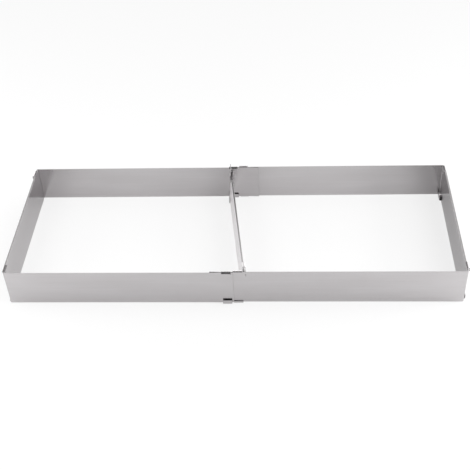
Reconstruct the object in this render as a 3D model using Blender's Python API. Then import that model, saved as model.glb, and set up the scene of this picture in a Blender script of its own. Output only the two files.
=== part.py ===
# Adjustable rectangular cake ring of folded stainless sheet.
# Four corner strips slide in each other by folded hooks, and a two-part divider hangs on the long walls.
# Metres, +Z up. X runs along the ring, Y across it. The origin is the middle of the ring, on the table.
# It stands as it does fully pulled out in length and fully pushed in across.

import math

import bmesh
import bpy

# Ring, outer faces
ring_length = 0.563
ring_width = 0.2115
wall_height = 0.050
sheet = 0.0008
corner_inner_radius = 0.0010

# Clearances
nest_play = 0.0004
seat_gap = 0.0003
tongue_end_gap = 0.0005
prong_end_gap = 0.0020
stop_gap = 0.0025

# Folded hooks
hook_width = 0.0113
hook_standoff = 0.0017
hook_tab_rise = 0.0001
hook_inner_radius = 0.0002
hook_lip_height = 0.0060
prong_height = 0.0015
long_tongue = 0.0147
short_tongue = 0.0042
joint_offset = 0.0010

# Divider
divider_height = 0.0395
divider_gap = 0.0006
divider_place = 0.0032
divider_seat_x = 0.0137
divider_lean = 4.2  # degrees
divider_hook_width = 0.0085
divider_hook_standoff = 0.0008
front_half_hook_inset = 0.0085
back_half_hook_inset = 0.0205
divider_tongue = 0.0030
riser_width = 0.0026
arch_height = 0.0010
prong_width = 0.0010
prong_drop = 0.0040

# Counts
corner_steps = 6
bend_steps = 4

# Colours and finish
steel_colour = (0.56, 0.55, 0.545, 1.0)
steel_roughness = 0.32
steel_metallic = 1.0

# Sizes that follow
hook_bend_radius = hook_inner_radius + sheet / 2
hook_rise = hook_tab_rise + hook_bend_radius + sheet / 2
hook_reach = 2 * sheet + nest_play + hook_standoff
divider_hook_reach = 2 * sheet + divider_gap + divider_hook_standoff
nest_step = sheet + nest_play
corner_bend_radius = corner_inner_radius + sheet / 2
wall_bottom = hook_rise
wall_top = wall_bottom + wall_height
lip_inside = sheet + hook_reach
lip_outside = hook_reach - nest_step
arch_low = wall_top + hook_rise + seat_gap
divider_aside = (divider_gap + sheet) / 2
weld = sheet / 1000


def clear_scene():
    for thing in list(bpy.data.objects):
        bpy.data.objects.remove(thing)


def make_steel(name):
    material = bpy.data.materials.new(name)
    material.use_nodes = True
    shader = material.node_tree.nodes["Principled BSDF"]
    shader.inputs["Base Color"].default_value = steel_colour
    shader.inputs["Roughness"].default_value = steel_roughness
    shader.inputs["Metallic"].default_value = steel_metallic
    return material


def corner_path(short_way):
    """Middle of a strip bent square at the origin: the short leg comes in along Y, the long leg goes out along +X.

    A place along it is its distance from the fold, negative on the short leg."""
    radius = corner_bend_radius

    def place(along):
        if along <= -radius:
            return (0.0, -along * short_way), (-1.0, 0.0)
        if along >= radius:
            return (along, 0.0), (0.0, -short_way)
        turn = (along + radius) / (2 * radius) * math.pi / 2
        normal = (-math.cos(turn), -math.sin(turn) * short_way)
        return (radius + radius * normal[0], short_way * radius + radius * normal[1]), normal

    bends = [-radius + 2 * radius * step / corner_steps for step in range(corner_steps + 1)]
    return place, bends


def straight_path():
    """Middle of a flat strip along +Y, with its hooks' outer side towards +X."""

    def place(along):
        return (0.0, along), (1.0, 0.0)

    return place, []


def hook_profile(reach):
    """Steps across and away from the sheet's edge, from the edge, over the bend and back to the lip's end."""
    radius = hook_bend_radius
    turns = [math.pi / 2 * step / bend_steps for step in range(bend_steps + 1)]
    points = [(0.0, 0.0)]
    points += [(radius - radius * math.cos(turn), hook_tab_rise + radius * math.sin(turn)) for turn in turns]
    points += [
        (reach - radius + radius * math.sin(turn), hook_tab_rise + radius * math.cos(turn)) for turn in turns
    ]
    points.append((reach, hook_rise - hook_lip_height))
    return points


def folded_sheet(name, path, panels, hooks, reach):
    """One strip of sheet: flat panels (start, end, low, high) on the path, and hooks (start, end, edge, up, side)."""
    place, bends = path
    starts = sorted({value for panel in panels for value in panel[:2]} | {v for hook in hooks for v in hook[:2]})
    stations = sorted(set(starts) | {bend for bend in bends if starts[0] < bend < starts[-1]})
    levels = sorted({value for panel in panels for value in panel[2:]})
    mesh = bmesh.new()

    def face(corners):
        mesh.faces.new([mesh.verts.new(corner) for corner in corners])

    for left, right in zip(stations, stations[1:]):
        for low, high in zip(levels, levels[1:]):
            across, height = (left + right) / 2, (low + high) / 2
            if any(p[0] < across < p[1] and p[2] < height < p[3] for p in panels):
                (x1, y1), (x2, y2) = place(left)[0], place(right)[0]
                face([(x1, y1, low), (x2, y2, low), (x2, y2, high), (x1, y1, high)])
    for start, end, edge, up, side in hooks:
        rows = []
        for out, rise in hook_profile(reach):
            row = []
            for along in (start, end):
                (x, y), normal = place(along)
                row.append((x + side * out * normal[0], y + side * out * normal[1], edge + up * rise))
            rows.append(row)
        for first, second in zip(rows, rows[1:]):
            face([first[0], first[1], second[1], second[0]])
    bmesh.ops.remove_doubles(mesh, verts=mesh.verts, dist=weld)
    bmesh.ops.recalc_face_normals(mesh, faces=mesh.faces)
    data = bpy.data.meshes.new(name)
    mesh.to_mesh(data)
    mesh.free()
    return data


def edge_hooks(start, end, low, high, side):
    """The same hook folded at the lower and the upper edge."""
    return [(start, end, low, -1, side), (start, end, high, 1, side)]


def pronged_panels(root, tip, cut):
    """A leg whose end is cut back between two prongs, which carry its hooks."""
    near, far = sorted((root, cut))
    first, last = sorted((cut, tip))
    return [
        (near, far, wall_bottom, wall_top),
        (first, last, wall_bottom, wall_bottom + prong_height),
        (first, last, wall_top - prong_height, wall_top),
    ]


def outer_long_corner():
    """Corner strip whose long leg runs outside its neighbour's and whose short leg runs inside."""
    long_end = ring_length / 2 - nest_step - sheet / 2 + joint_offset + hook_width
    short_end = ring_width - sheet / 2 - 2 * sheet - nest_play - tongue_end_gap
    panels = pronged_panels(-short_end, long_end, long_end - hook_width)
    hooks = edge_hooks(long_end - hook_width, long_end, wall_bottom, wall_top, -1)
    hook_start = -short_end + short_tongue
    hooks += edge_hooks(hook_start, hook_start + hook_width, wall_bottom, wall_top, 1)
    return folded_sheet("outer_long_corner", corner_path(1), panels, hooks, hook_reach)


def inner_long_corner():
    """Corner strip whose long leg runs inside its neighbour's and whose short leg runs outside."""
    hook_end = ring_length / 2 - sheet / 2 - joint_offset + stop_gap + hook_width
    long_end = hook_end + long_tongue
    short_end = ring_width - nest_step - sheet / 2 - sheet - prong_end_gap
    cut = -short_end + hook_width
    panels = pronged_panels(long_end, -short_end, cut)
    hooks = edge_hooks(hook_end - hook_width, hook_end, wall_bottom, wall_top, 1)
    hooks += edge_hooks(-short_end, cut, wall_bottom, wall_top, -1)
    return folded_sheet("inner_long_corner", corner_path(-1), panels, hooks, hook_reach)


def divider_half(name, hook_inset):
    """Flat strip with a hook over the long wall at its seat end and folded hooks this far from the other wall.

    It starts at its wall's outer face and runs along +Y. The hooks wrap its twin, on its -X side."""
    slant = math.cos(divider_angle())
    low = seat_gap + hook_rise
    high = low + divider_height
    arch_high = arch_low + arch_height
    slot_out = -(lip_outside + seat_gap) / slant
    slot_in = (lip_inside + seat_gap + divider_drift()) / slant
    span = ring_width / slant
    hook_end = span - hook_inset
    free_end = hook_end + divider_tongue
    panels = [
        (slot_in, free_end, low, high),
        (slot_in, slot_in + riser_width, high, arch_high),
        (slot_out, slot_in, arch_low, arch_high),
        (slot_out - prong_width, slot_out, arch_low - prong_drop, arch_high),
    ]
    hooks = edge_hooks(hook_end - divider_hook_width, hook_end, low, high, -1)
    return folded_sheet(name, straight_path(), panels, hooks, divider_hook_reach)


def divider_angle():
    """Turn of the divider seen from above, from its seats on the two long walls."""
    return math.atan2(divider_seat_x - divider_aside, ring_width / 2 - sheet)


def divider_drift():
    """How far the lean brings the foot of a half towards the wall that it hangs on."""
    return arch_low * math.sin(math.radians(divider_lean)) * math.sin(divider_angle())


def add_piece(name, data, location, turn, parent=None):
    piece = bpy.data.objects.new(name, data)
    bpy.context.scene.collection.objects.link(piece)
    piece.location = location
    piece.rotation_euler = (0.0, 0.0, turn)
    piece.parent = parent
    solid = piece.modifiers.new("sheet", "SOLIDIFY")
    solid.thickness = sheet
    solid.offset = 0.0
    solid.use_even_offset = True
    return piece


def add_corners():
    outer = outer_long_corner()
    inner = inner_long_corner()
    for data in (outer, inner):
        data.materials.append(make_steel("satin_steel_" + data.name))
    outer_fold = (-ring_length / 2 + nest_step + sheet / 2, -ring_width / 2 + sheet / 2)
    inner_fold = (-ring_length / 2 + sheet / 2, ring_width / 2 - nest_step - sheet / 2)
    for name, data, fold, turn in (
        ("front_left_corner", outer, outer_fold, 0.0),
        ("back_right_corner", outer, outer_fold, math.pi),
        ("back_left_corner", inner, inner_fold, 0.0),
        ("front_right_corner", inner, inner_fold, math.pi),
    ):
        way = math.cos(turn)
        add_piece(name, data, (way * fold[0], way * fold[1], 0.0), turn)


def add_divider():
    """Both halves hang on the walls by their arches, and lean as one about the line between these seats."""
    lean = math.radians(divider_lean)
    axis = bpy.data.objects.new("divider_axis", None)
    bpy.context.scene.collection.objects.link(axis)
    axis.location = (divider_place, 0.0, arch_low + (divider_aside + sheet / 2) * math.sin(lean))
    axis.rotation_euler = (0.0, lean, divider_angle())
    start = -ring_width / 2 / math.cos(divider_angle())
    for name, hook_inset, turn in (
        ("divider_front", front_half_hook_inset, 0.0),
        ("divider_back", back_half_hook_inset, math.pi),
    ):
        data = divider_half(name, hook_inset)
        data.materials.append(make_steel("satin_steel_" + data.name))
        way = math.cos(turn)
        add_piece(name, data, (way * divider_aside, way * start, -arch_low), turn, axis)


clear_scene()
add_corners()
add_divider()
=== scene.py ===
import math

import bmesh
import bpy
from mathutils import Matrix, Vector


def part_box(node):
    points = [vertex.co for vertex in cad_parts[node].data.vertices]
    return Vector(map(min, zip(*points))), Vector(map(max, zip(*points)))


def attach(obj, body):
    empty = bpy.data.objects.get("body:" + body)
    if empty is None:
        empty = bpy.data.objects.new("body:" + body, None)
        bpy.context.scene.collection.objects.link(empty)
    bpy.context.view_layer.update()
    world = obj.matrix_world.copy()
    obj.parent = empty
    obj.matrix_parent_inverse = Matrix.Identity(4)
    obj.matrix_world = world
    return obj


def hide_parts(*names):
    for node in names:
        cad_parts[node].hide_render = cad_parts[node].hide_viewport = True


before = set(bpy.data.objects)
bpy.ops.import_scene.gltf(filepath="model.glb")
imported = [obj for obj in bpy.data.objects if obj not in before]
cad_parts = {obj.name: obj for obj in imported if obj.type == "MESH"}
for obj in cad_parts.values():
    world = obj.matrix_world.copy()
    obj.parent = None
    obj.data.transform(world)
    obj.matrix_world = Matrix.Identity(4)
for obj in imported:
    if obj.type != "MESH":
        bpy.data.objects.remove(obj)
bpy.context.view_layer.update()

# Adjustable cake ring: four folded steel strips that nest, and a two-part divider hung on the long
# walls. Metres, +Z up, X along the ring. The ring stands pulled out in length and pushed in across.


# Nodes

class NodeValue:
    # A socket with arithmetic: each operator adds the Math node that does it.
    def __init__(self, maker, socket):
        self.maker = maker
        self.socket = socket

    def math(self, operation, *values):
        return self.maker.add("ShaderNodeMath", {"operation": operation}, dict(enumerate(values)))

    def __add__(self, other):
        return self.math("ADD", self, other)

    def __radd__(self, other):
        return self.math("ADD", other, self)

    def __sub__(self, other):
        return self.math("SUBTRACT", self, other)

    def __rsub__(self, other):
        return self.math("SUBTRACT", other, self)

    def __mul__(self, other):
        return self.math("MULTIPLY", self, other)

    def __rmul__(self, other):
        return self.math("MULTIPLY", other, self)

    def __truediv__(self, other):
        return self.math("DIVIDE", self, other)

    def __rtruediv__(self, other):
        return self.math("DIVIDE", other, self)

    def atLeast(self, other):
        return self.math("MAXIMUM", self, other)

    def atMost(self, other):
        return self.math("MINIMUM", self, other)

    def sign(self):
        return self.math("SIGN", self)

    def magnitude(self):
        return self.math("ABSOLUTE", self)


class NodeMaker:
    # Adds nodes to a tree: type, settings first, then the values or links of its sockets.
    def __init__(self, tree):
        self.tree = tree

    def add(self, kind, settings=None, values=None, output=0):
        node = self.tree.nodes.new(kind)
        for name, value in (settings or {}).items():
            setattr(node, name, value)
        for name, value in (values or {}).items():
            self.feed(node.inputs[name], value)
        return NodeValue(self, node.outputs[output]) if len(node.outputs) else node

    def feed(self, socket, value):
        if isinstance(value, NodeValue):
            self.tree.links.new(value.socket, socket)
        else:
            socket.default_value = value

    def other(self, value, output):
        return NodeValue(self, value.socket.node.outputs[output])

    def noise(self, vector, scale, detail, roughness):
        values = {"Vector": vector, "Scale": scale, "Detail": detail, "Roughness": roughness}
        return self.add("ShaderNodeTexNoise", {"noise_dimensions": "3D"}, values)

    def bump(self, height, strength, distance, **normal):
        values = {"Height": height, "Strength": strength, "Distance": distance, **normal}
        return self.add("ShaderNodeBump", {}, values)

    def mixColours(self, factor, first, second):
        # The colour sockets of the Mix node share their names with others, so they go by number.
        values = {"Factor": factor, 6: first, 7: second}
        return self.add("ShaderNodeMix", {"data_type": "RGBA"}, values, output=2)

    def rays(self):
        # Two masks: what the camera sees, and what is mirrored or seen through something
        seen = self.add("ShaderNodeLightPath", output="Is Camera Ray")
        through = self.other(seen, "Is Transmission Ray")
        return seen, self.other(seen, "Is Glossy Ray").atLeast(through)


def freshMaterial(name):
    material = bpy.data.materials.new(name)
    material.use_nodes = True
    material.node_tree.nodes.clear()
    return material, NodeMaker(material.node_tree)


# Camera

cameraView = {
    "target": (-0.00327, 0.02166, 0.0),
    "distance": 1.2077,
    "pitch": 41.164,  # down from level, degrees
    "yaw": -4.359,
    "roll": -3.150,
    "lens": 68.75,
    "sensor": 36.0,
    "nearest": 0.05,
    "farthest": 30.0,
}


def placeCamera(view):
    pitch, yaw, roll = (math.radians(view[name]) for name in ("pitch", "yaw", "roll"))
    ahead = math.cos(pitch)
    forward = Vector((math.sin(yaw) * ahead, math.cos(yaw) * ahead, -math.sin(pitch)))
    level = Vector((math.cos(yaw), -math.sin(yaw), 0.0))
    upright = level.cross(forward)
    right = math.cos(roll) * level + math.sin(roll) * upright
    up = math.cos(roll) * upright - math.sin(roll) * level
    data = bpy.data.cameras.new("photoCamera")
    data.lens = view["lens"]
    data.sensor_width = view["sensor"]
    data.clip_start = view["nearest"]
    data.clip_end = view["farthest"]
    data.dof.use_dof = False
    camera = bpy.data.objects.new("photoCamera", data)
    bpy.context.scene.collection.objects.link(camera)
    place = Vector(view["target"]) - forward * view["distance"]
    turned = Matrix((right, up, -forward)).transposed().to_4x4()
    camera.matrix_world = Matrix.Translation(place) @ turned
    bpy.context.scene.camera = camera


placeCamera(cameraView)
print("camera placed")


# Finishes. A pattern is a noise: its patches per metre, its detail and its roughness.

steelLook = {
    "colour": (0.625, 0.617, 0.626, 1.0),
    "darkColour": (0.425, 0.400, 0.405, 1.0),
    "roughness": 0.20,
    # Three patterns are drawn out: so many patches per metre along the strip, and across it
    "grain": ((45.0, 3600.0), 2.0, 0.6),
    "streaks": ((4.0, 330.0), 3.0, 0.55),
    "clouds": ((9.0, 42.0), 3.0, 0.55),
    "smudges": (22.0, 4.0, 0.6),
    "waves": (9.0, 1.0, 0.4),
    # Their shares in the change from the dark colour to the light one
    "streakTint": 0.40,
    "cloudTint": 0.35,
    "grainTint": 0.25,
    # How far the roughness changes with them, from lowest to highest
    "grainSpread": 0.20,
    "smudgeSpread": 0.12,
    "grainDepth": 0.000008,
    "grainStrength": 0.50,
    "waveDepth": 0.00025,
    "waveStrength": 0.35,
}


# A paler, rougher copy of the wall steel for the back divider half. Its paler colour is painted
# light, standing in for the brighter light on that half's face; the front half keeps the wall
# steel.
paintedLightDividerLook = {
    **steelLook,
    "colour": (0.900, 0.882, 0.888, 1.0),
    "darkColour": (0.780, 0.764, 0.769, 1.0),
    "roughness": 0.50,
}


def satinSteel(name, look):
    material, maker = freshMaterial(name)
    flat = maker.add("ShaderNodeUVMap", {"uv_map": "sheetMap"})
    place = maker.add("ShaderNodeTexCoord", output="Object")

    def drawnOut(perMetre, detail, roughness):
        values = {"Vector": flat, "Scale": (*perMetre, 1.0)}
        stretched = maker.add("ShaderNodeMapping", {"vector_type": "POINT"}, values)
        return maker.noise(stretched, 1.0, detail, roughness)

    grain = drawnOut(*look["grain"])
    streaks = drawnOut(*look["streaks"])
    clouds = drawnOut(*look["clouds"])
    smudges = maker.noise(place, *look["smudges"])
    waves = maker.noise(place, *look["waves"])
    tint = streaks * look["streakTint"] + clouds * look["cloudTint"] + grain * look["grainTint"]
    colour = maker.mixColours(tint, look["darkColour"], look["colour"])
    roughness = look["roughness"] + (grain - 0.5) * look["grainSpread"]
    roughness = roughness + (smudges - 0.5) * look["smudgeSpread"]
    wavy = maker.bump(waves, look["waveStrength"], look["waveDepth"])
    bump = maker.bump(grain, look["grainStrength"], look["grainDepth"], Normal=wavy)
    values = {"Base Color": colour, "Metallic": 1.0, "Roughness": roughness, "Normal": bump}
    shader = maker.add("ShaderNodeBsdfPrincipled", {}, values)
    maker.add("ShaderNodeOutputMaterial", {}, {"Surface": shader})
    return material


edgeLook = {
    "colour": (0.480, 0.468, 0.472, 1.0),
    "darkColour": (0.400, 0.390, 0.393, 1.0),
    "roughness": 0.70,
    "metallic": 0.40,  # the burrs scatter light
    "tears": (900.0, 3.0, 0.6),
    "tearSpread": 0.2,
    "tearDepth": 0.00003,
    "tearStrength": 0.4,
}


def shearedEdge(look):
    material, maker = freshMaterial("shearedEdge")
    place = maker.add("ShaderNodeTexCoord", output="Object")
    tears = maker.noise(place, *look["tears"])
    values = {
        "Base Color": maker.mixColours(tears, look["darkColour"], look["colour"]),
        "Metallic": look["metallic"],
        "Roughness": look["roughness"] + (tears - 0.5) * look["tearSpread"],
        "Normal": maker.bump(tears, look["tearStrength"], look["tearDepth"]),
    }
    shader = maker.add("ShaderNodeBsdfPrincipled", {}, values)
    maker.add("ShaderNodeOutputMaterial", {}, {"Surface": shader})
    return material


wallSteel = satinSteel("satinSteel", steelLook)
# The back divider half's paler copy: its colour is painted light, not a finish of its own.
paintedLightDividerSteel = satinSteel("paintedLightDividerSteel", paintedLightDividerLook)
cutSteel = shearedEdge(edgeLook)
print("finishes made")


# Sheet and hooks. Sizes along a strip are measured on the middle of the sheet, as cut from flat.

sheetMetal = {
    "thickness": 0.0008,
    "wallBottom": 0.0011,
    "wallTop": 0.0511,
    "foldRadius": 0.0014,
    "foldSteps": 10,
    "cornerRound": 0.0007,
    "cornerSteps": 3,
    "edgeRound": 0.00012,
    "edgeSteps": 2,
    "edgeAngle": 40,  # edges sharper than this are rounded, degrees
    "sharpAngle": 28,  # and those sharper than this shade as edges
    "faceWeight": 100,  # how far the larger faces lead the shading
}
wallHook = {
    "rise": 0.0007,
    "reach": 0.0037,
    "shoulder": (0.0006, 0.0002),  # where the crown starts, and how far below it the side ends
    "slope": (0.0016, 0.00076),  # where the crown starts to fall, and how far it falls to the lip
    "bendRadius": 0.0003,
    "drop": 0.0056,  # from the hook's top down to the lip's end
    "rows": 18,
}
dividerHook = {**wallHook, "reach": 0.0030, "slope": (0.0023, 0.0003)}


def hookCorners(hook):
    # A hook's bends seen along the sheet's edge: steps out from the sheet and up from its edge
    top = hook["rise"]
    return [
        (0.0, 0.0),
        (0.0, top - hook["shoulder"][1]),
        (hook["shoulder"][0], top),
        (hook["slope"][0], top),
        (hook["reach"], top - hook["slope"][1]),
        (hook["reach"], top - hook["drop"]),
    ]


def hookLengths(hook):
    # Distances along a hook's flat tab, from the sheet's edge, of its rows of points:
    # evenly over its crown to the lip, and at the lip's end
    places = [Vector(corner) for corner in hookCorners(hook)]
    legs = [after - before for before, after in zip(places, places[1:])]
    turns = [before.angle(after) for before, after in zip(legs, legs[1:])]
    saved = sum(hook["bendRadius"] * (2 * math.tan(turn / 2) - turn) for turn in turns)
    end = sum(leg.length for leg in legs) - saved
    lip = end - legs[-1].length + hook["bendRadius"] * math.tan(turns[-1] / 2)
    return [lip * step / hook["rows"] for step in range(hook["rows"] + 1)] + [end]


blankGrid = {
    "decimals": 7,  # places that agree to this many decimals are one
    "slack": 1e-6,
}


def cutBlank(name, panels, tabs, extraStations, hook):
    # The flat strip in X and Z: panels (start, end, low, high), tabs (start, end, edge, up, side).
    rows = hookLengths(hook)
    slack = blankGrid["slack"]
    areas = list(panels)
    for start, end, edge, up, side in tabs:
        areas.append((start, end, *sorted((edge, edge + up * rows[-1]))))

    def grid(values):
        return sorted({round(value, blankGrid["decimals"]) for value in values})

    stations = grid([value for area in areas for value in area[:2]] + extraStations)
    levels = grid(
        [value for area in areas for value in area[2:]]
        + [edge + up * row for start, end, edge, up, side in tabs for row in rows]
    )
    mesh = bmesh.new()
    points = {}

    def point(across, height):
        if (across, height) not in points:
            points[across, height] = mesh.verts.new((across, 0.0, height))
        return points[across, height]

    for left, right in zip(stations, stations[1:]):
        for low, high in zip(levels, levels[1:]):
            x, z = (left + right) / 2, (low + high) / 2
            if any(start < x < end and under < z < over for start, end, under, over in areas):
                corners = ((left, low), (right, low), (right, high), (left, high))
                mesh.faces.new([point(*corner) for corner in corners])
    bmesh.ops.bevel(
        mesh,
        geom=[v for v in mesh.verts if len(v.link_faces) == 1],
        affect="VERTICES",
        offset=sheetMetal["cornerRound"],
        segments=sheetMetal["cornerSteps"],
        profile=0.5,
    )
    hookSide = mesh.verts.layers.float.new("hookSide")
    for v in mesh.verts:
        for start, end, edge, up, side in tabs:
            if start - slack < v.co.x < end + slack and (v.co.z - edge) * up > -slack:
                v[hookSide] = side
    flat = mesh.loops.layers.uv.new("sheetMap")
    for face in mesh.faces:
        for loop in face.loops:
            loop[flat].uv = (loop.vert.co.x, loop.vert.co.z)
    data = bpy.data.meshes.new(name)
    mesh.to_mesh(data)
    mesh.free()
    return data


# Folding: a tree that bends a flat strip round its fold in plan, and its tabs over into hooks

foldDetail = {
    "bendPoints": 24,  # points round each bend of the curves that the strip follows
    "tangentStep": 0.0001,
}


def hookInputs(corners):
    return [f"Hook corner {number}" for number in range(len(corners))]


def buildFoldTree(detail):
    tree = bpy.data.node_groups.new("foldStrip", "GeometryNodeTree")
    hookNames = hookInputs(hookCorners(wallHook))
    inputs = {}
    for name, kind in (
        ("Strip", "Geometry"),
        ("Path start", "Vector"),
        ("Path fold", "Vector"),
        ("Path end", "Vector"),
        ("Fold radius", "Float"),
        ("Zero length", "Float"),
        ("Low edge", "Float"),
        ("High edge", "Float"),
        *((name, "Vector") for name in hookNames),
        ("Hook radius", "Float"),
        ("Steel", "Material"),
    ):
        socket = tree.interface.new_socket(
            name=name, in_out="INPUT", socket_type="NodeSocket" + kind
        )
        inputs[name] = socket.identifier
    tree.interface.new_socket(name="Folded", in_out="OUTPUT", socket_type="NodeSocketGeometry")
    maker = NodeMaker(tree)
    given = maker.add("NodeGroupInput")

    def sent(name):
        return maker.other(given, name)

    def vectorMath(operation, *vectors, **more):
        values = {**dict(enumerate(vectors)), **more}
        return maker.add("ShaderNodeVectorMath", {"operation": operation}, values)

    def filleted(places, radius):
        # A bent wire through these places, rounded at its inner ones
        line = maker.add("GeometryNodeMeshLine", {}, {"Count": len(places)})
        wire = maker.add("GeometryNodeMeshToCurve", {}, {"Mesh": line})
        index = maker.add("GeometryNodeInputIndex")
        switch = maker.add("GeometryNodeIndexSwitch", {"data_type": "VECTOR"}).socket.node
        while len(switch.index_switch_items) < len(places):
            switch.index_switch_items.new()
        maker.feed(switch.inputs["Index"], index)
        for number, place in enumerate(places, 1):
            maker.feed(switch.inputs[number], place)
        moved = maker.add(
            "GeometryNodeSetPosition",
            {},
            {"Geometry": wire, "Position": NodeValue(maker, switch.outputs[0])},
        )
        return maker.add(
            "GeometryNodeFilletCurve",
            {"mode": "POLY"},
            {"Curve": moved, "Count": detail["bendPoints"], "Radius": radius},
        )

    def along(wire, length):
        return maker.add(
            "GeometryNodeSampleCurve",
            {"mode": "LENGTH", "data_type": "FLOAT"},
            {"Curves": wire, "Length": length},
            output="Position",
        )

    across = maker.add(
        "ShaderNodeSeparateXYZ", {}, {"Vector": maker.add("GeometryNodeInputPosition")}
    )
    height = maker.other(across, "Z")
    side = maker.add(
        "GeometryNodeInputNamedAttribute", {"data_type": "FLOAT"}, {"Name": "hookSide"}
    )
    plan = filleted([sent("Path start"), sent("Path fold"), sent("Path end")], sent("Fold radius"))
    length = across + sent("Zero length")
    onPath = along(plan, length)
    near = detail["tangentStep"]
    step = vectorMath("SUBTRACT", along(plan, length + near), along(plan, length - near))
    outward = vectorMath("NORMALIZE", vectorMath("CROSS_PRODUCT", step, (0.0, 0.0, 1.0)))

    profile = filleted([sent(name) for name in hookNames], sent("Hook radius"))
    over = (height - sent("High edge")).atLeast(0.0)
    under = (sent("Low edge") - height).atLeast(0.0)
    out = maker.add("ShaderNodeSeparateXYZ", {}, {"Vector": along(profile, over + under)})
    rise = maker.other(out, "Z")
    edge = height.atLeast(sent("Low edge")).atMost(sent("High edge"))
    folded = height + side.magnitude() * (edge + (over - under).sign() * rise - height)
    upright = maker.add("ShaderNodeCombineXYZ", {}, {"X": 0.0, "Y": 0.0, "Z": folded})
    sideways = vectorMath("SCALE", outward, Scale=out * side)
    place = vectorMath("ADD", vectorMath("ADD", onPath, sideways), upright)

    bent = maker.add(
        "GeometryNodeSetPosition", {}, {"Geometry": sent("Strip"), "Position": place}
    )
    real = maker.add("GeometryNodeRealizeInstances", {}, {"Geometry": bent})
    steel = maker.add(
        "GeometryNodeSetMaterial", {}, {"Geometry": real, "Material": sent("Steel")}
    )
    maker.add("NodeGroupOutput", {}, {"Folded": steel})
    return tree, inputs


foldTree, foldInputs = buildFoldTree(foldDetail)
print("fold tree built")


def plainMesh(holder, name):
    bpy.context.view_layer.update()
    graph = bpy.context.evaluated_depsgraph_get()
    data = bpy.data.meshes.new_from_object(
        holder.evaluated_get(graph), preserve_all_data_layers=True, depsgraph=graph
    )
    data.name = name
    return data


def fold(piece, path, zero, edges, hook, steel):
    # Bends the flat strip round this path, with its tabs over into hooks
    modifier = piece.modifiers.new("fold", "NODES")
    modifier.node_group = foldTree
    values = {
        "Path start": path[0],
        "Path fold": path[1],
        "Path end": path[2],
        "Fold radius": sheetMetal["foldRadius"],
        "Zero length": zero,
        "Low edge": edges[0],
        "High edge": edges[1],
        "Hook radius": hook["bendRadius"],
        "Steel": steel,
    }
    corners = hookCorners(hook)
    for name, (out, up) in zip(hookInputs(corners), corners):
        values[name] = (out, 0.0, up)
    for name, value in values.items():
        modifier[foldInputs[name]] = value
    folded = plainMesh(piece, piece.name)
    piece.modifiers.remove(modifier)
    folded.materials.clear()
    folded.materials.append(steel)
    folded.materials.append(cutSteel)
    piece.data = folded


def thicken(piece):
    # Gives the folded sheet its thickness, cut edges in their own finish, and rounded edges
    solid = piece.modifiers.new("thickness", "SOLIDIFY")
    solid.thickness = sheetMetal["thickness"]
    solid.offset = 0.0
    solid.use_even_offset = True
    solid.material_offset_rim = 1
    soft = piece.modifiers.new("edges", "BEVEL")
    soft.width = sheetMetal["edgeRound"]
    soft.segments = sheetMetal["edgeSteps"]
    soft.limit_method = "ANGLE"
    soft.angle_limit = math.radians(sheetMetal["edgeAngle"])
    soft.miter_outer = "MITER_ARC"
    data = plainMesh(piece, piece.name)
    piece.modifiers.clear()
    mesh = bmesh.new()
    mesh.from_mesh(data)
    bmesh.ops.recalc_face_normals(mesh, faces=mesh.faces)
    mesh.to_mesh(data)
    mesh.free()
    data.polygons.foreach_set("use_smooth", [True] * len(data.polygons))
    data.set_sharp_from_angle(angle=math.radians(sheetMetal["sharpAngle"]))
    piece.data = data
    weigh = piece.modifiers.new("normals", "WEIGHTED_NORMAL")
    weigh.keep_sharp = True
    weigh.weight = sheetMetal["faceWeight"]
    piece.data = plainMesh(piece, piece.name)
    piece.modifiers.clear()


def foldStrip(name, blank, body, node, path, zero, edges, hook, steel, spring=None, place=None):
    # Makes a piece of a blank, moves it to its place and sets it on its body in its node's stead
    piece = bpy.data.objects.new(name, blank)
    bpy.context.scene.collection.objects.link(piece)
    fold(piece, path, zero, edges, hook, steel)
    if spring is not None:
        spring(piece.data)
    thicken(piece)
    if place is not None:
        piece.data.transform(place)
    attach(piece, body)
    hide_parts(node)
    low = [min(v.co[axis] for v in piece.data.vertices) for axis in range(3)]
    high = [max(v.co[axis] for v in piece.data.vertices) for axis in range(3)]
    cadLow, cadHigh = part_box(node)
    apart = ["%.2f" % (1000 * (a - b)) for a, b in zip(low + high, [*cadLow, *cadHigh])]
    print(name, "off its node by", apart, "mm,", len(piece.data.polygons), "faces")


# Corner strips. Flat places along a strip are measured from the middle of its fold,
# negative on the short leg.

def foldLoss():
    # How much shorter each leg is along the fold than to the corner of its straight sides
    return sheetMetal["foldRadius"] * (1 - math.pi / 4)


def flatPlace(along):
    # Flat place of a point this far from the corner of the straight sides
    return along - math.copysign(foldLoss(), along)


def foldStations():
    half = math.pi / 4 * sheetMetal["foldRadius"]
    steps = sheetMetal["foldSteps"]
    return [-half + 2 * half * step / steps for step in range(steps + 1)]


def cornerBlank(name, size, whole, pronged, hooks):
    # One part at full height, one cut back to two prongs; hooks (start, end, side) at both edges
    bottom, top, prong = sheetMetal["wallBottom"], sheetMetal["wallTop"], size["prongHeight"]
    panels = [
        (*whole, bottom, top),
        (*pronged, bottom, bottom + prong),
        (*pronged, top - prong, top),
    ]
    tabs = []
    for start, stop, side in hooks:
        tabs += [(start, stop, bottom, -1, side), (start, stop, top, 1, side)]
    return cutBlank(name, panels, tabs, foldStations(), wallHook)


outerLong = {
    "fold": (-0.2799, -0.10535),
    "shortWay": 1,  # which way its short leg runs along Y
    "longLeg": 0.2922,
    "shortLeg": 0.2086,
    "hookWidth": 0.0113,
    "tongue": 0.0042,
    "prongHeight": 0.0015,
}


def outerLongBlank(size):
    # Long leg with prong hooks that reach in; short leg with a tongue and hooks that reach out
    tip = flatPlace(size["longLeg"])
    cut = flatPlace(size["longLeg"] - size["hookWidth"])
    end = flatPlace(-size["shortLeg"])
    hook = end + size["tongue"]
    hooks = ((cut, tip, -1), (hook, hook + size["hookWidth"], 1))
    return cornerBlank("outerLongBlank", size, (end, cut), (cut, tip), hooks)


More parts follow.
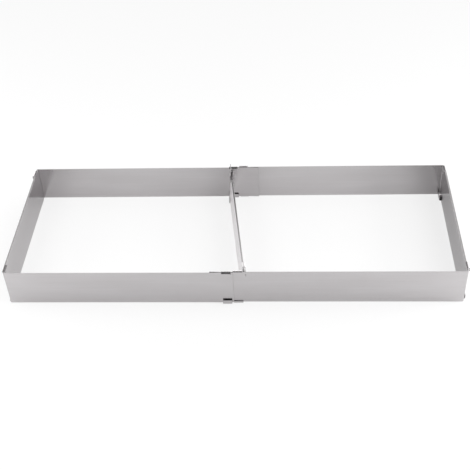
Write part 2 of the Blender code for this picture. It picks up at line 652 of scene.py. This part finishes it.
innerLong = {
    "fold": (-0.2811, 0.10415),
    "shortWay": -1,
    "longLeg": 0.3086,
    "shortLeg": 0.2071,
    "hookWidth": 0.0113,
    "tongue": 0.0147,
    "tongueSpring": 0.0007,  # how far the long leg's end stands off the strip that it slides on
    "prongHeight": 0.0015,
}


def innerLongBlank(size):
    # Long leg with a tongue and hooks that reach out; short leg with prong hooks that reach in
    tip = flatPlace(size["longLeg"])
    hook = tip - size["tongue"]
    end = flatPlace(-size["shortLeg"])
    cut = end + size["hookWidth"]
    # This strip's path runs the other way round the ring, so its sides change sign.
    hooks = ((hook - size["hookWidth"], hook, -1), (end, cut, 1))
    return cornerBlank("innerLongBlank", size, (cut, tip), (end, cut), hooks)


def innerLongSpring(size, way):
    # Bends the end of the long leg, past its hooks, off the strip that it slides on
    hookEnd = size["fold"][0] + size["longLeg"] - size["tongue"]

    def spring(data):
        for vertex in data.vertices:
            past = (way * vertex.co.x - hookEnd) / size["tongue"]
            if past > 0.0:
                vertex.co.y -= way * size["tongueSpring"] * past

    return spring


def makeCorner(name, body, size, blank, way, spring=None):
    x, y = size["fold"]
    points = ((x, y + size["shortWay"] * size["shortLeg"]), (x, y), (x + size["longLeg"], y))
    path = [(way * along, way * across, 0.0) for along, across in points]
    zero = size["shortLeg"] - foldLoss()
    edges = (sheetMetal["wallBottom"], sheetMetal["wallTop"])
    foldStrip(name, blank, body, body + "_corner", path, zero, edges, wallHook, wallSteel, spring)


def makeCorners():
    # Opposite corners are the same pressing, one turned half a turn.
    for name, body, way in (
        ("frontLeftStrip", "front_left", 1),
        ("backRightStrip", "back_right", -1),
    ):
        makeCorner(name, body, outerLong, outerLongBlank(outerLong), way)
    for name, body, way in (
        ("backLeftStrip", "back_left", 1),
        ("frontRightStrip", "front_right", -1),
    ):
        spring = innerLongSpring(innerLong, way)
        makeCorner(name, body, innerLong, innerLongBlank(innerLong), way, spring)


makeCorners()
print("corner strips made")


# Divider halves. Places along one are measured from the outer face of the wall that it hangs on.

dividerHalf = {
    "place": 0.0032,
    "seatX": 0.0137,
    "lean": 4.2,  # top towards +X, degrees
    "aside": 0.0007,
    "low": 0.0014,
    "high": 0.0409,
    "wallSpan": 0.2115,
    "lipInside": 0.0045,
    "lipOutside": 0.0025,
    "gap": 0.0003,
    "riserWidth": 0.0026,
    "archLow": 0.0525,
    "archHeight": 0.0010,
    "prongWidth": 0.0010,
    "prongDrop": 0.0040,
    "frontHookInset": 0.0085,
    "backHookInset": 0.0205,
    "frontSplay": (-0.0005, -0.0004, 0.0007),  # off its plane at its seat, middle and end
    "backSplay": (0.0, 0.0, 0.0),
    "hookWidth": 0.0085,
    "tongue": 0.0030,
    "pathSpare": 0.001,  # how far the path runs past each end
}


def dividerTurn(size):
    across = size["wallSpan"] / 2 - sheetMetal["thickness"]
    return math.atan2(size["seatX"] - size["aside"], across)


def dividerBlank(size, hookInset):
    turn = dividerTurn(size)
    slant = math.cos(turn)
    # The lean brings the foot of a half this much nearer to its wall.
    drift = size["archLow"] * math.sin(math.radians(size["lean"])) * math.sin(turn)
    slotOut = -(size["lipOutside"] + size["gap"]) / slant
    slotIn = (size["lipInside"] + size["gap"] + drift) / slant
    low, high, archLow = size["low"], size["high"], size["archLow"]
    archHigh = archLow + size["archHeight"]
    hookEnd = size["wallSpan"] / slant - hookInset
    tip = hookEnd + size["tongue"]
    prong = slotOut - size["prongWidth"]
    panels = [
        (slotIn, tip, low, high),
        (slotIn, slotIn + size["riserWidth"], high, archHigh),
        (slotOut, slotIn, archLow, archHigh),
        (prong, slotOut, archLow - size["prongDrop"], archHigh),
    ]
    hook = (hookEnd - size["hookWidth"], hookEnd)
    tabs = [(*hook, low, -1, -1), (*hook, high, 1, -1)]
    return cutBlank("dividerBlank", panels, tabs, [], dividerHook), prong, tip


def makeDivider(size):
    # Both halves lean as one about the line between their seats.
    turn, lean = dividerTurn(size), math.radians(size["lean"])
    pivot = size["archLow"] + (size["aside"] + sheetMetal["thickness"] / 2) * math.sin(lean)
    hung = (
        Matrix.Translation((size["place"], 0.0, pivot))
        @ Matrix.Rotation(turn, 4, "Z")
        @ Matrix.Rotation(lean, 4, "Y")
        @ Matrix.Translation((0.0, 0.0, -size["archLow"]))
    )
    wall = size["wallSpan"] / 2 / math.cos(turn)
    edges = (size["low"], size["high"])
    spare = size["pathSpare"]
    for name, body, half, steel, halfTurn in (
        ("frontDivider", "divider_front", "front", wallSteel, 0.0),
        # The back half wears the paler copy of the steel; its paler colour is painted light on its
        # face.
        ("backDivider", "divider_back", "back", paintedLightDividerSteel, math.pi),
    ):
        blank, start, end = dividerBlank(size, size[half + "HookInset"])
        places = (start - spare, (start + end) / 2, end + spare)
        path = [
            (size["aside"] + off, along - wall, 0.0)
            for along, off in zip(places, size[half + "Splay"])
        ]
        place = hung @ Matrix.Rotation(halfTurn, 4, "Z")
        zero = spare - start
        foldStrip(name, blank, body, body, path, zero, edges, dividerHook, steel, place=place)


makeDivider(dividerHalf)
print("divider made")


# Floor, light and world

floorLook = {
    "size": 14.0,
    "colour": (0.86, 0.86, 0.86, 1.0),
    "seenGlow": 0.70,  # how far it is white of itself to the camera
    "mirroredGlow": 0.05,  # and in the steel, which mirrors its shaded surface as well
}
plainWhite = (1.0, 1.0, 1.0, 1.0)


def makeFloor(look):
    half = look["size"] / 2
    corners = [(-half, -half, 0), (half, -half, 0), (half, half, 0), (-half, half, 0)]
    data = bpy.data.meshes.new("floor")
    data.from_pydata(corners, [], [(0, 1, 2, 3)])
    floor = bpy.data.objects.new("floor", data)
    bpy.context.scene.collection.objects.link(floor)
    material, maker = freshMaterial("paleFloor")
    seen, mirrored = maker.rays()
    matt = maker.add("ShaderNodeBsdfDiffuse", {}, {"Color": look["colour"]})
    glow = maker.add("ShaderNodeEmission", {}, {"Color": plainWhite, "Strength": 1.0})
    share = seen * look["seenGlow"] + mirrored * look["mirroredGlow"]
    mixed = maker.add("ShaderNodeMixShader", {}, {0: share, 1: matt, 2: glow})
    maker.add("ShaderNodeOutputMaterial", {}, {"Surface": mixed})
    data.materials.append(material)


lightRig = {
    "leftSoftbox": {
        "place": (-1.1, -0.1, 0.38), "aim": (-0.3, 0.0, 0.0), "size": (0.6, 0.3), "power": 2.95
    },
    "rightSoftbox": {
        "place": (1.1, -0.1, 0.38), "aim": (0.3, 0.0, 0.0), "size": (0.6, 0.3), "power": 5.45
    },
    "leftFill": {
        "place": (-0.60, -0.25, 0.60), "aim": (-0.45, -0.15, 0.0), "size": (0.5, 0.5), "power": 1.86
    },
    "rightFill": {
        "place": (0.60, -0.25, 0.60), "aim": (0.45, -0.15, 0.0), "size": (0.5, 0.5), "power": 1.66
    },
}


def makeLights(rig):
    for name, light in rig.items():
        data = bpy.data.lights.new(name, "AREA")
        data.shape = "RECTANGLE"
        data.size, data.size_y = light["size"]
        data.energy = light["power"]
        lamp = bpy.data.objects.new(name, data)
        bpy.context.scene.collection.objects.link(lamp)
        lamp.location = light["place"]
        ahead = Vector(light["aim"]) - Vector(light["place"])
        lamp.rotation_euler = ahead.to_track_quat("-Z", "Y").to_euler()


worldLook = {
    # Brightness of the studio's sides, which fade to black overhead, behind and at the floor
    "left": 1.92,
    "right": 3.45,
    # Brightness of the backdrop behind, up to this height, and how softly it ends
    "back": 2.70,
    "backTop": 0.50,
    "backFade": 0.15,
    "mirroredWhite": 0.01,  # how far the steel shows the white that the camera sees
}


def makeWorld(look):
    world = bpy.data.worlds.new("studio")
    bpy.context.scene.world = world
    world.use_nodes = True
    world.node_tree.nodes.clear()
    maker = NodeMaker(world.node_tree)
    seen, mirrored = maker.rays()
    facing = maker.add("ShaderNodeTexCoord", output="Generated")
    sideways = maker.add("ShaderNodeSeparateXYZ", {}, {"Vector": facing})
    upward = maker.other(sideways, "Z").atLeast(0.0)
    leftSide = (sideways * -1.0).atLeast(0.0) * look["left"]
    rightSide = sideways.atLeast(0.0) * look["right"]
    behind = maker.other(sideways, "Y").atLeast(0.0) * look["back"]
    below = ((look["backTop"] - upward) / look["backFade"]).atLeast(0.0).atMost(1.0)
    studio = (leftSide + rightSide) * upward + behind * below
    soft = maker.add("ShaderNodeBackground", {}, {"Color": plainWhite, "Strength": studio})
    white = maker.add("ShaderNodeBackground", {}, {"Color": plainWhite, "Strength": 1.0})
    share = seen + mirrored * look["mirroredWhite"]
    mixed = maker.add("ShaderNodeMixShader", {}, {0: share, 1: soft, 2: white})
    maker.add("ShaderNodeOutputWorld", {}, {"Surface": mixed})


makeFloor(floorLook)
makeLights(lightRig)
makeWorld(worldLook)
bpy.context.scene.view_settings.view_transform = "Standard"
print("floor and light made")
